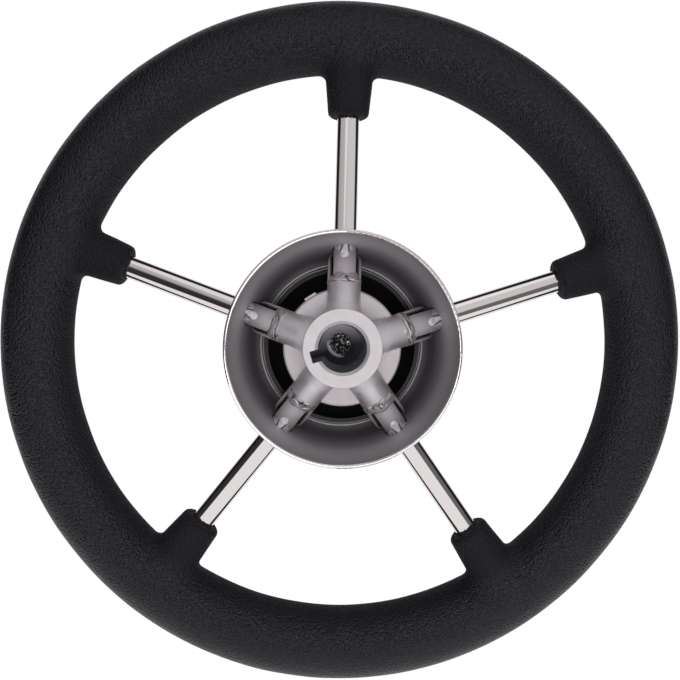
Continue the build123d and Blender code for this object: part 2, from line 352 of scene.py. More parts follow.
class StageSettings(PropertyGroup):
    camera_place: FloatVectorProperty(
        name="Camera place", description="Where the camera stands", size=3,
        default=(-0.01549, -0.8211, 0.03933), subtype="TRANSLATION",
    )
    camera_turn: FloatProperty(
        name="Camera turn", description="The camera's turn to the right of +Y",
        default=math.radians(1.003), subtype="ANGLE",
    )
    camera_tilt: FloatProperty(
        name="Camera tilt", description="The camera's tilt above the horizon",
        default=math.radians(-2.512), subtype="ANGLE",
    )
    camera_roll: FloatProperty(
        name="Camera roll", description="The camera's roll, anticlockwise from behind it",
        default=math.radians(1.924), subtype="ANGLE",
    )
    focal_length: FloatProperty(
        name="Focal length", description="Millimetres, on a sensor 36 mm wide", default=112.82,
    )
    white: FloatVectorProperty(
        name="White", description="Colour of the backdrop and the floor", size=4, subtype="COLOR",
        default=linear("#ffffff"),
    )
    floor_gap: FloatProperty(
        name="Floor gap", description="Height of the wheel's lowest point over the floor",
        default=0.12, subtype="DISTANCE",
    )
    floor_width: FloatProperty(
        name="Floor width", description="Width of the paper", default=1.3, subtype="DISTANCE",
    )
    floor_near: FloatProperty(
        name="Floor near", description="How far the paper reaches towards the camera",
        default=0.65, subtype="DISTANCE",
    )
    floor_far: FloatProperty(
        name="Floor far", description="How far the paper reaches behind the wheel", default=2.5,
        subtype="DISTANCE",
    )


# Geometry shared by the pieces


def spoke_frame(angle, sizes):
    """A spoke's start on the wheel's axis, its direction, the side that faces the dash, and the
    direction along the rim."""
    outwards = Vector((math.cos(angle), 0, math.sin(angle)))
    along = outwards * math.cos(sizes.dish) + Vector((0, math.sin(sizes.dish), 0))
    tangent = Vector((-math.sin(angle), 0, math.cos(angle)))
    rear = along.cross(tangent)
    if rear.y > 0:
        rear = -rear
    return Vector((0, sizes.apex, 0)), along, rear, tangent


def round_spoke(spoke, distance, turn, radius):
    """The point this far along a spoke and from its axis, at this turn from its rear."""
    start, along, rear, tangent = spoke
    return start + along * distance + (rear * math.cos(turn) + tangent * math.sin(turn)) * radius


def tube_faces(rows, width, base=0, closed=False, capped=False, flipped=False):
    """Faces over rows of points, each row a ring of this width: quads from row to row, also from
    the last to the first if closed, and a face over each end if capped."""
    faces = []
    for i in range(rows if closed else rows - 1):
        here, beyond = base + i * width, base + (i + 1) % rows * width
        for j in range(width):
            k = (j + 1) % width
            faces.append((here + j, beyond + j, beyond + k, here + k))
    if capped:
        last = base + (rows - 1) * width
        faces.append(tuple(range(base, base + width)))
        faces.append(tuple(reversed(range(last, last + width))))
    return [(face[0],) + face[:0:-1] for face in faces] if flipped else faces


def new_piece(name, points, faces, material, replaced=(), folds=None):
    """A piece made of points and faces. Its folds, from 0 to 1 at each point, darken it."""
    mesh = bpy.data.meshes.new(name)
    mesh.from_pydata([tuple(p) for p in points], [], faces)
    mesh.update()
    piece = add_piece(name, mesh, material, replaced)
    if folds:
        piece.data.attributes.new("fold", "FLOAT", "POINT").data.foreach_set("value", folds)
    return piece


def add_piece(name, mesh, material, replaced=()):
    """A smooth-shaded piece that rides on the wheel and stands for the CAD nodes it replaces."""
    mesh.name = name
    mesh.materials.clear()
    mesh.materials.append(material)
    mesh.shade_smooth()
    piece = bpy.data.objects.new(name, mesh)
    bpy.context.scene.collection.objects.link(piece)
    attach(piece, BODY)
    if replaced:
        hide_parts(*replaced)
    return piece


def finish_node(name, material):
    """Gives a CAD node a finish in place of its plain one."""
    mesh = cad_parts[name].data
    mesh.materials.clear()
    mesh.materials.append(material)


def mesh_points(mesh):
    """A mesh's points, as the rows of an array."""
    points = np.zeros(len(mesh.vertices) * 3)
    mesh.vertices.foreach_get("co", points)
    return points.reshape(-1, 3)


def set_mesh_points(mesh, points):
    """Moves a mesh's points to the rows of this array."""
    mesh.vertices.foreach_set("co", points.astype(np.float32).ravel())
    mesh.update()


def remeshed(mesh, size):
    """An even mesh over the outside of closed shapes, which it joins where they overlap."""
    source = bpy.data.objects.new("remesh_source", mesh)
    bpy.context.scene.collection.objects.link(source)
    remesh = source.modifiers.new("Even mesh", "REMESH")
    remesh.mode = "VOXEL"
    remesh.voxel_size = size
    graph = bpy.context.evaluated_depsgraph_get()
    result = bpy.data.meshes.new_from_object(source.evaluated_get(graph))
    bpy.data.objects.remove(source)
    return result


def swell(mesh, size, height, seed):
    """Raises and lowers the surface in soft swells of this size and height."""
    points = mesh_points(mesh)
    normals = np.array([v.normal for v in mesh.vertices])
    offset = Vector((seed * 7.3, seed * 3.1, seed * 5.7))
    amount = np.array([noise.noise(Vector(p) / size + offset) for p in points]) * height
    set_mesh_points(mesh, points + normals * amount[:, None])


# Grip


def union(first, second, rounding):
    """Distance to two shapes joined, with a fillet of this radius between them."""
    near = np.hypot(np.maximum(rounding - first, 0), np.maximum(rounding - second, 0))
    return np.maximum(rounding, np.minimum(first, second)) - near


def common(first, second, rounding):
    """Distance to what two shapes have in common, with its edge rounded to this radius."""
    far = np.hypot(np.maximum(rounding + first, 0), np.maximum(rounding + second, 0))
    return np.minimum(-rounding, np.maximum(first, second)) + far


def grip_distance(points, grip, spokes):
    """Distance of points from the grip's skin, less than nothing inside it."""
    across = np.hypot(points[:, 0], points[:, 2]) - RIM_RADIUS
    result = np.hypot(across, points[:, 1] - RIM_DEPTH) - GRIP_RADIUS
    rim_distance = RIM_RADIUS / math.cos(spokes.dish)
    end_distance = grip.sleeve_end / math.cos(spokes.dish)
    taper = (grip.sleeve_root - grip.sleeve_tip) / (rim_distance - end_distance)
    for angle in SPOKE_ANGLES:
        start, along, _, _ = (np.array(v) for v in spoke_frame(angle, spokes))
        outwards = np.array([math.cos(angle), 0, math.sin(angle)])
        relative = points - start
        distance = relative @ along
        from_axis = np.linalg.norm(relative - distance[:, None] * along, axis=1)
        radius = grip.sleeve_root + (distance - rim_distance) * taper
        cone = (from_axis - radius) * math.cos(math.atan(taper))
        facing = outwards * math.cos(grip.sleeve_lean)
        facing = facing + np.array([0, math.sin(grip.sleeve_lean), 0])
        end = -(relative - along * end_distance) @ facing
        sleeve = common(cone, end, grip.tip_round)
        sleeve = np.maximum(sleeve, distance - rim_distance)
        near = np.abs(distance - rim_distance) < 4 * GRIP_RADIUS
        result = np.where(near, union(result, sleeve, grip.root_round), result)
    return result


def grip_blank(grip, spokes):
    """A plain ring and five plain cones, which the even mesh joins into one."""
    around, about = 240, 48
    turns = [2 * math.pi * j / about for j in range(about)]
    points = []
    for i in range(around):
        angle = 2 * math.pi * i / around
        for turn in turns:
            radius = RIM_RADIUS + GRIP_RADIUS * math.cos(turn)
            depth = RIM_DEPTH + GRIP_RADIUS * math.sin(turn)
            points.append((radius * math.cos(angle), depth, radius * math.sin(angle)))
    faces = tube_faces(around, about, closed=True)
    for angle in SPOKE_ANGLES:
        start, along, rear, tangent = spoke_frame(angle, spokes)
        faces += tube_faces(2, about, len(points), capped=True, flipped=True)
        for radius, width in (
            (grip.sleeve_end, grip.sleeve_tip),
            (RIM_RADIUS, grip.sleeve_root),
        ):
            middle = start + along * (radius / math.cos(spokes.dish))
            for turn in turns:
                points.append(middle + (tangent * math.cos(turn) + rear * math.sin(turn)) * width)
    mesh = bpy.data.meshes.new("grip_blank")
    mesh.from_pydata([tuple(p) for p in points], [], faces)
    return mesh


def pull_onto_grip(points, grip, spokes):
    """Moves points along the shape's slope until they lie on the grip's skin."""
    rounds, step, least_slope = 5, 0.01 * MM, 0.2
    for _ in range(rounds):
        distance = grip_distance(points, grip, spokes)
        slope = np.stack(
            [
                grip_distance(points + o, grip, spokes) - grip_distance(points - o, grip, spokes)
                for o in np.eye(3) * step
            ],
            axis=1,
        ) / (2 * step)
        slope /= np.maximum((slope**2).sum(1), least_slope)[:, None]
        points = points - distance[:, None] * slope
    return points


def skinned_foam(settings):
    """Integral-skin polyurethane foam, moulded against an etched leather grain: near black, matt,
    with small shiny pebbles that catch the light one by one."""
    material, node, place = start_material("skinned_polyurethane_foam")
    warp = node("ShaderNodeTexNoise", {"Vector": place, "Scale": 1 / (1.9 * MM), "Detail": 2.0})
    bent = node(
        "ShaderNodeVectorMath", {0: warp.outputs["Color"], 1: (0.5, 0.5, 0.5)},
        operation="SUBTRACT",
    )
    bent = node("ShaderNodeVectorMath", {0: bent, "Scale": 0.9 * MM}, operation="SCALE")
    bent = node("ShaderNodeVectorMath", {0: place, 1: bent}, operation="ADD")
    pebbles = node(
        "ShaderNodeTexVoronoi", {"Vector": bent, "Scale": 1 / settings.grain}, feature="SMOOTH_F1"
    )
    fine = node("ShaderNodeTexNoise", {"Vector": place, "Scale": 1 / (0.45 * MM), "Detail": 3.0})
    coarse = node(
        "ShaderNodeBump", {"Height": pebbles, "Strength": 1.0, "Distance": 0.9 * MM}, invert=True
    )
    normal = node(
        "ShaderNodeBump", {"Height": fine, "Strength": 1.0, "Distance": 0.1 * MM, "Normal": coarse}
    )
    low = node("ShaderNodeTexNoise", {"Vector": place, "Scale": 1 / (14 * MM), "Detail": 2.0})
    rough = node(
        "ShaderNodeMapRange",
        {"Value": low, "From Min": 0.3, "From Max": 0.7, "To Min": 0.36, "To Max": 0.44},
    )
    # The sleeves and the rim's inner side are drier than the rest
    rough = node(
        "ShaderNodeMix",
        {"Factor": from_axle(node, place, 110 * MM, 119 * MM), "A": 0.75, "B": rough},
        data_type="FLOAT",
    )
    # Painted shade: the colour darkens towards the grooves between the pebbles
    shade = node(
        "ShaderNodeMapRange",
        {"Value": pebbles, "From Min": 0.1, "From Max": 0.6, "To Min": 1.0, "To Max": 0.7},
    )
    colour = node(
        "ShaderNodeMix", {"Factor": shade, "A": (0.0, 0.0, 0.0, 1.0), "B": settings.colour},
        data_type="RGBA",
    )
    surface = node(
        "ShaderNodeBsdfPrincipled",
        {"Base Color": colour, "Roughness": rough, "IOR": 1.5, "Specular IOR Level": 0.3,
         "Normal": normal},
    )
    return finished(material, surface)


class WHEEL_OT_grip(Operator):
    """Makes the foam grip with its five sleeves as one even mesh"""

    bl_idname = "wheel.grip"
    bl_label = "Grip"

    def execute(self, context):
        grip = context.scene.wheel_grip
        spokes = context.scene.wheel_spokes
        mesh = remeshed(grip_blank(grip, spokes), grip.mesh_size)
        set_mesh_points(mesh, pull_onto_grip(mesh_points(mesh), grip, spokes))
        swell(mesh, 16 * MM, 0.12 * MM, 1)
        piece = add_piece("foam_grip", mesh, skinned_foam(grip), ["grip"])
        return {"FINISHED"}


# Spokes and core


def polished_steel():
    """Stainless steel bar, ground and buffed: a bright mirror with a faint haze. Inside the bell it
    was blasted with the hub, so it is satin on the rear, with painted shade on its other sides and
    towards the bell's wall."""
    material, node, place = start_material("polished_stainless_bar")
    haze = node("ShaderNodeTexNoise", {"Vector": place, "Scale": 1 / (3 * MM), "Detail": 4.0})
    rough = node(
        "ShaderNodeMapRange",
        {"Value": haze, "From Min": 0.3, "From Max": 0.7, "To Min": 0.03, "To Max": 0.07},
    )
    ripple = node("ShaderNodeBump", {"Height": haze, "Strength": 1.0, "Distance": 0.004 * MM})
    polished = node(
        "ShaderNodeBsdfPrincipled",
        {"Base Color": linear(POLISHED), "Metallic": 1.0, "Roughness": rough, "Normal": ripple},
    )
    # Painted shade: the blasted steel darkens towards the bell's wall, where the bell shades the
    # rods
    rod = node(
        "ShaderNodeMixShader",
        {"Fac": from_bell(node, place, -9 * MM, -1 * MM),
         1: blasted(node, place, "#cbc6c9", "#dcd7da", 0.8, 0.14 * MM),
         2: blasted(node, place, "#969195", "#aea9ad", 0.8, 0.14 * MM)},
    )
    # Painted shade: inside the bell the rods' sides turned away from the rear are dark steel
    inside_bell = node(
        "ShaderNodeMixShader",
        {"Fac": facing_rear(node, 0.05, 0.3), 1: oxide_and_shade_steel(node, PAINTED_SHADE), 2: rod},
    )
    surface = node(
        "ShaderNodeMixShader",
        {"Fac": from_bell(node, place, 0.9 * MM, 1.3 * MM), 1: inside_bell, 2: polished},
    )
    return finished(material, surface)


def tube_steel():
    """Plain drawn tube with its weld: dull grey, with mill scale in patches."""
    material, node, place = start_material("drawn_tube_steel")
    patches = node("ShaderNodeTexNoise", {"Vector": place, "Scale": 1 / (5 * MM), "Detail": 5.0})
    colour = node(
        "ShaderNodeMix", {"Factor": patches, "A": linear("#6f6a65"), "B": linear("#9b9691")},
        data_type="RGBA",
    )
    surface = node(
        "ShaderNodeBsdfPrincipled", {"Base Color": colour, "Metallic": 1.0, "Roughness": 0.5}
    )
    return finished(material, surface)


class WHEEL_OT_spokes(Operator):
    """Finishes the polished spokes, and the steel ring and welds inside the grip"""

    bl_idname = "wheel.spokes"
    bl_label = "Spokes"

    def execute(self, context):
        polished = polished_steel()
        plain = tube_steel()
        for number in range(1, len(SPOKE_ANGLES) + 1):
            finish_node(f"spoke_{number}", polished)
            finish_node(f"core_weld_{number}", plain)
        finish_node("rim_core", plain)
        return {"FINISHED"}


# Hub


def blasted_casting():
    """Stainless investment casting, bead blasted, with its tapered bore and keyway machined: the
    bore is smoother and shows the dark inside of the cap."""
    material, node, place = start_material("blasted_stainless_casting")
    arm = node(
        "ShaderNodeMath",
        {0: from_axle(node, place, 18 * MM, 18.6 * MM),
         1: from_spoke(node, place, 6.75 * MM, 6.95 * MM)},
        operation="SUBTRACT", use_clamp=True,
    )
    satin = node("ShaderNodeMix", {"Factor": arm, "A": 0.66, "B": 0.5}, data_type="FLOAT")
    # Painted shade: the boss and the arms are bright, the disc behind them and the cradles darker
    # in turn, as lit and shaded copies of the same blasted steel
    cast = blasted(node, place, "#ccc7ca", "#ded9dc", satin, 0.1 * MM)
    disc = along_axle(node, place, 8.8 * MM, 9.3 * MM)
    cradles = from_axle(node, place, 25 * MM, 30 * MM)
    for mask, shaded in (
        (disc, blasted(node, place, "#bdb8bb", "#cec9cc", 0.66, 0.1 * MM)),
        (cradles, blasted(node, place, "#a09b9f", "#b1acb0")),
    ):
        cast = node("ShaderNodeMixShader", {"Fac": mask, 1: cast, 2: shaded})
    machined = node(
        "ShaderNodeBsdfPrincipled",
        {"Base Color": linear("#b6b5b9"), "Metallic": 1.0, "Roughness": 0.3},
    )
    outside = node(
        "ShaderNodeMath",
        {0: along_axle(node, place, 1.35 * MM, 1.15 * MM),
         1: from_axle(node, place, 13.1 * MM, 13.4 * MM)},
        operation="MAXIMUM",
    )
    turned = node("ShaderNodeMixShader", {"Fac": outside, 1: machined, 2: cast})
    # Painted shade: down in the slit beside each spoke, out beyond the boss, the casting is dark
    # steel
    beyond_slit = node(
        "ShaderNodeMath",
        {0: from_spoke(node, place, 5.74 * MM, 5.84 * MM),
         1: from_axle(node, place, 19.8 * MM, 19.5 * MM)},
        operation="ADD", use_clamp=True,
    )
    surface = node("ShaderNodeMixShader", {"Fac": beyond_slit, 1: oxide_and_shade_steel(node, PAINTED_SHADE), 2: turned})
    return finished(material, surface)


def arm_lip(number, angle, hub, spokes, material):
    """The two raised edges of an arm's cradle, which stand beside the spoke up to its middle and
    fall away in a curve just before the bell."""
    start, along, rear, tangent = spoke_frame(angle, spokes)
    # The rounding of the upper corner, and how far the foot sinks into the casting
    soft, sunk = 0.3 * MM, 0.5 * MM
    inner, outer = hub.lip_inner, hub.lip_outer
    stations, fall_power = 49, 2.6
    points, faces = [], []
    for side in (1, -1):
        faces += tube_faces(stations, 8, len(points), capped=True, flipped=side < 0)
        for i in range(stations):
            place = hub.lip_start + (hub.lip_end - hub.lip_start) * i / (stations - 1)
            foot = (place - hub.lip_start) * math.tan(hub.relief) + sunk
            fall = max(0, (place - hub.lip_bend) / (hub.lip_end - hub.lip_bend))
            top = hub.lip_drop * fall**fall_power
            for radius, below in (
                (inner, foot), (inner, (foot + top) / 2), (inner, top), (outer - soft, top),
                (outer - 0.3 * soft, top + 0.3 * soft), (outer, top + soft),
                (outer, (foot + top + soft) / 2), (outer, max(foot, top + soft)),
            ):
                aside = math.sqrt(radius**2 - below**2) * side
                points.append(start + along * place - rear * below + tangent * aside)
    piece = new_piece(f"arm_lip_{number}", points, faces, material)
    piece.data.set_sharp_from_angle(angle=math.radians(50))


class WHEEL_OT_hub(Operator):
    """Finishes the hub's casting and raises the edges of its arms' cradles"""

    bl_idname = "wheel.hub"
    bl_label = "Hub"

    def execute(self, context):
        scene = context.scene
        material = blasted_casting()
        finish_node("hub", material)
        for number, angle in enumerate(SPOKE_ANGLES, 1):
            arm_lip(number, angle, scene.wheel_hub, scene.wheel_spokes, material)
        return {"FINISHED"}


# Weld beads


def folded(node, metal):
    """This metal, dark in the piece's folds: oxide on the beads, painted shade on the rings in the
    bell's holes.
    """
    fold = node("ShaderNodeAttribute", attribute_name="fold").outputs["Fac"]
    return node("ShaderNodeMixShader", {"Fac": fold, 1: metal, 2: oxide_and_shade_steel(node)})


def weld_metal():
    """Stainless filler, blasted with the casting: the same satin grey, darker in its folds."""
    material, node, place = start_material("blasted_weld_metal")
    return finished(material, folded(node, blasted(node, place, "#ccc9cb", "#e4e2e4", 0.5)))


def bright_weld_and_highlight():
    """Stainless filler left as it froze, on the tacks made after the blasting: silver bright, its
    near-white colour partly a painted highlight.
    """
    material, node, place = start_material("bright_weld_and_highlight")
    waves = node("ShaderNodeTexNoise", {"Vector": place, "Scale": 1 / (0.9 * MM), "Detail": 3.0})
    normal = node("ShaderNodeBump", {"Height": waves, "Strength": 1.0, "Distance": 0.12 * MM})
    # Painted highlight in part: the near-white colour keeps the tacks bright in the bell's shade
    bright = node(
        "ShaderNodeBsdfPrincipled",
        {"Base Color": linear("#efecf0"), "Metallic": 1.0, "Roughness": 0.8, "Normal": normal},
    )
    return finished(material, folded(node, bright))


def clamped(value):
    """The value, held between nothing and one."""
    return min(1, max(0, value))


def hump(distance, width):
    """One at no distance, and fading to nothing beyond a few widths."""
    return math.exp(-((distance / width) ** 2))


def socket_bead(number, angle, beads, spokes, material):
    """A bead laid by hand over the rear of the spoke: it runs down from the arm's end to the
    spoke with a wandering toe, and thin curling lines part the metal laid at each pass."""
    spoke = spoke_frame(angle, spokes)
    around, over = 128, 40
    reach = math.radians(100)
    # Millimetres from line to line along and round the spoke, and the widths of groove and fold.
    # The noise is read at places in millimetres, so its factors are waves in a millimetre.
    line_pitch, line_slant, groove_width, fold_width = 2.1, 7.0, 0.34, 0.42
    seed = Vector((number * 11.7, number * 4.3, 0))
    points, folds = [], []
    for i in range(around + 1):
        turn = reach * (2 * i / around - 1)
        arc = turn * SPOKE_RADIUS / MM
        low = noise.noise(Vector((arc * 0.2, 0, 0)) + seed)
        high = noise.noise(Vector((arc * 0.18, 5, 0)) + seed)
        steep = min(1, abs(turn) / math.radians(90)) ** 4
        first = beads.start + low * 0.5 * MM
        last = beads.start + beads.length + high * 1.7 * MM + 1.3 * MM * steep
        fade = min(1, 5 * (1 - abs(turn) / reach))
        for j in range(over + 1):
            share = j / over
            across = (last - first) * share / MM
            to_toe = (last - first) * (1 - share) / MM
            wander = noise.noise(Vector((arc * 0.2, across * 0.3, 9)) + seed)
            twist = noise.noise(Vector((arc * 0.45, across * 0.5, 19)) + seed)
            swelling = noise.noise(Vector((arc * 0.35, across * 0.5, 3)) + seed)
            phase = across / line_pitch + arc / line_slant + 2.4 * wander + 0.5 * twist
            wave = math.sin(math.pi * phase)
            shaped = math.sin(math.pi * share) ** 0.5
            crown = beads.height * (1 - share ** (1.6 + 5 * steep))
            crown += 0.35 * MM * math.sin(math.pi * share)
            crown += (0.6 * MM * swelling - beads.groove * hump(wave, groove_width)) * shaped
            height = max(crown * fade, -0.1 * MM)
            distance = first + (last - first) * share
            points.append(round_spoke(spoke, distance, turn, SPOKE_RADIUS + height))
            line = clamped(0.95 + 1.6 * twist) * hump(wave, fold_width) * shaped
            undercut = 0.8 * hump(to_toe - 0.25, 0.25) * clamped(0.6 + 2.5 * wander)
            seam = 0.8 * hump(across - 0.35, 0.3) * clamped(0.4 + 3 * high)
            folds.append(max(line, undercut, seam))
        for distance in (last, first):
            points.append(round_spoke(spoke, distance, turn, SPOKE_RADIUS - 0.4 * MM))
            folds.append(0.0)
    faces = tube_faces(around + 1, over + 3, capped=True, flipped=True)
    new_piece(
        f"socket_bead_{number}", points, faces, material,
        [f"socket_weld_{number}"], folds,
    )


def bell_reach(foot, along, bell, depth):
    """Distance along a line at which it meets the bell's wall, this deep outside its inner face,
    found by halving a span that surely holds it."""
    low, high = 30 * MM, 60 * MM
    for _ in range(24):
        middle = (low + high) / 2
        place = foot + along * middle
        aside = math.hypot(place.x, place.z) - bell.arc_aside
        if math.hypot(aside, place.y - bell.arc_depth) < bell.arc + depth:
            low = middle
        else:
            high = middle
    return low


def tack_bead(number, angle, spokes, bell, material):
    """A tack that ran flat on the spoke's rear: a drop, broad towards the hub and drawn out to the
    bell, with a shallow dish where it froze. A dark furrow on each side parts it from the grey
    metal that spread along the bell's wall."""
    spoke = start, along, _, _ = spoke_frame(angle, spokes)
    solid = mesh_points(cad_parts[f"bell_tack_{number}"].data)
    first = float(((solid - np.array(start)) @ along).min()) - 0.2 * MM
    across, over = 72, 56
    # Shares of the tack's length at which the drop is broadest and the side metal begins
    broad, sides_start = 0.36, 0.42
    # Half the widths of the drop and of the side metal at the bell, and the drop's height
    drop_half, sides_half, drop_height = 1.8 * MM, 5.4 * MM, 0.95 * MM
    points, folds = [], []
    for j in range(over + 1):
        share = 0.015 + 0.985 * j / over
        nose = math.sqrt(1 - (1 - share / broad) ** 2) if share < broad else 1
        drawn = max(0, (share - broad) / (1 - broad))
        drop = drop_half * (1 - 0.5 * drawn**0.8) * nose
        full = max(drop, 0.1 * MM)
        crown = (drop_height - 0.3 * MM * drawn) * nose
        spread = max(0, (share - sides_start) / (1 - sides_start)) ** 0.8
        half = 1.1 * drop + (sides_half - 1.1 * drop) * spread
        for i in range(across + 1):
            side = 2 * i / across - 1
            side *= 1 - min(1, 3 * spread) * 0.5 * (1 - abs(side))
            wide = side * half
            turn = (wide + 0.25 * MM * math.sin(2.5 * share + number)) / SPOKE_RADIUS
            foot = round_spoke(spoke, 0, turn, SPOKE_RADIUS)
            distance = first + (bell_reach(foot, along, bell, 0) - first) * share
            dish = hump(2 * wide, full) * hump(share - broad, 0.2)
            ripple = noise.noise(Vector((wide / MM, share * 5, number * 3.7)))
            humped = max(0, 1 - (wide / full) ** 4) ** 0.6
            furrow = hump(abs(wide) - 1.25 * drop, 0.4 * MM)
            raised = humped * (crown * (1 - 0.3 * dish) + 0.16 * MM * ripple)
            skirt = max(0, 1 - abs(side) ** 6) * spread * (0.5 + 0.5 * ripple) * MM
            height = max(raised, skirt * (1 - furrow), 0.03 * MM)
            points.append(round_spoke(spoke, distance, turn, SPOKE_RADIUS + height))
            grey = clamped((abs(wide) - 0.75 * drop) / (0.45 * drop + 0.01 * MM))
            shade = 0.14 + 0.3 * ripple + (0.4 - 0.14 * ripple) * grey
            folds.append(clamped(max(shade, furrow * min(1, 3 * drawn + 0.2))))
        for side in (1, -1):
            turn = side * half / SPOKE_RADIUS
            points.append(round_spoke(spoke, distance, turn, SPOKE_RADIUS - 0.5 * MM))
            folds.append(0.0)
    faces = tube_faces(over + 1, across + 3, capped=True)
    new_piece(
        f"tack_bead_{number}", points, faces, material, [f"bell_tack_{number}"],
        folds,
    )


def gap_ring(number, angle, spokes, bell, material):
    """Metal of the tack that ran round the spoke and closes its gap in the bell's hole, painted
    dark as the shade in that gap. It stays within the sheet's thickness."""
    spoke = _, along, _, _ = spoke_frame(angle, spokes)
    around, dark = 64, 0.8
    inner, outer = SPOKE_RADIUS - 0.15 * MM, SPOKE_RADIUS + 0.65 * MM
    shallow, deep = 0.25 * MM, 1.25 * MM
    points = []
    for i in range(around):
        for radius, depth in ((inner, shallow), (inner, deep), (outer, deep), (outer, shallow)):
            foot = round_spoke(spoke, 0, 2 * math.pi * i / around, radius)
            points.append(foot + along * bell_reach(foot, along, bell, depth))
    faces = tube_faces(around, 4, closed=True)
    new_piece(
        f"gap_ring_{number}", points, faces, material, folds=[dark] * len(points)
    )


class WHEEL_OT_beads(Operator):
    """Makes the rough beads round the spokes, the bell's tacks and the metal in its holes"""

    bl_idname = "wheel.beads"
    bl_label = "Weld beads"

    def execute(self, context):
        beads = context.scene.wheel_beads
        spokes = context.scene.wheel_spokes
        bell = context.scene.wheel_bell
        material = weld_metal()
        bright = bright_weld_and_highlight()
        for number, angle in enumerate(SPOKE_ANGLES, 1):
            socket_bead(number, angle, beads, spokes, material)
            tack_bead(number, angle, spokes, bell, bright)
            gap_ring(number, angle, spokes, bell, material)
        return {"FINISHED"}


# Bell


def pressed_sheet():
    """Stainless sheet, drawn to a cone: polished outside and round the lip, dull inside as it left
    the press, with painted shade inside: lighter near the rear mouth, darkest deep in, lighter
    again at the front flange."""
    material, node, place = start_material("pressed_stainless_sheet")
    flat = node("ShaderNodeVectorMath", {0: place, 1: (1, 0, 1)}, operation="MULTIPLY")
    outwards = node("ShaderNodeVectorMath", {0: flat}, operation="NORMALIZE")
    facing = node("ShaderNodeNewGeometry").outputs["True Normal"]
    side = node("ShaderNodeVectorMath", {0: outwards, 1: facing}, operation="DOT_PRODUCT")
    # The buffing left out the inner face, the holes' walls and the rear of the front flange
    polish = node("ShaderNodeMapRange", {"Value": side, "From Min": -0.82, "From Max": -0.7})
    polish = node(
        "ShaderNodeMath", {0: polish, 1: from_spoke(node, place, 5.3 * MM, 5.5 * MM)},
        operation="MULTIPLY",
    )
    flange = node(
        "ShaderNodeMath",
        {0: facing_rear(node, 0.1, 0.3), 1: along_axle(node, place, 27 * MM, 28 * MM)},
        operation="MULTIPLY",
    )
    polish = node("ShaderNodeMath", {0: polish, 1: flange}, operation="SUBTRACT", use_clamp=True)
    # Painted shade along the axle: where the inside's colour changes, and its shade from there on
    colour = linear("#aaa5aa")
    for near, far, shade in (
        (-3 * MM, 8 * MM, "#cbc6cb"), (12 * MM, 23 * MM, "#807b80"), (26 * MM, 29 * MM, "#b6b1b6"),
    ):
        colour = node(
            "ShaderNodeMix",
            {"Factor": along_axle(node, place, near, far), "A": colour, "B": linear(shade)},
            data_type="RGBA",
        )
    colour = node(
        "ShaderNodeMix", {"Factor": polish, "A": colour, "B": linear(POLISHED)}, data_type="RGBA"
    )
    rough = node("ShaderNodeMapRange", {"Value": polish, "To Min": 0.7, "To Max": 0.07})
    amount = node("ShaderNodeMapRange", {"Value": polish, "To Min": 1.0, "To Max": 0.04})
    cloud = node("ShaderNodeTexNoise", {"Vector": place, "Scale": 1 / (1.2 * MM), "Detail": 4.0})
    normal = node("ShaderNodeBump", {"Height": cloud, "Strength": amount, "Distance": 0.05 * MM})
    surface = node(
        "ShaderNodeBsdfPrincipled",
        {"Base Color": colour, "Metallic": 1.0, "Roughness": rough, "Normal": normal},
    )
    return finished(material, surface)


class WHEEL_OT_bell(Operator):
    """Finishes the bell"""

    bl_idname = "wheel.bell"
    bl_label = "Bell"

    def execute(self, context):
        finish_node("bell", pressed_sheet())
        return {"FINISHED"}


# Cap


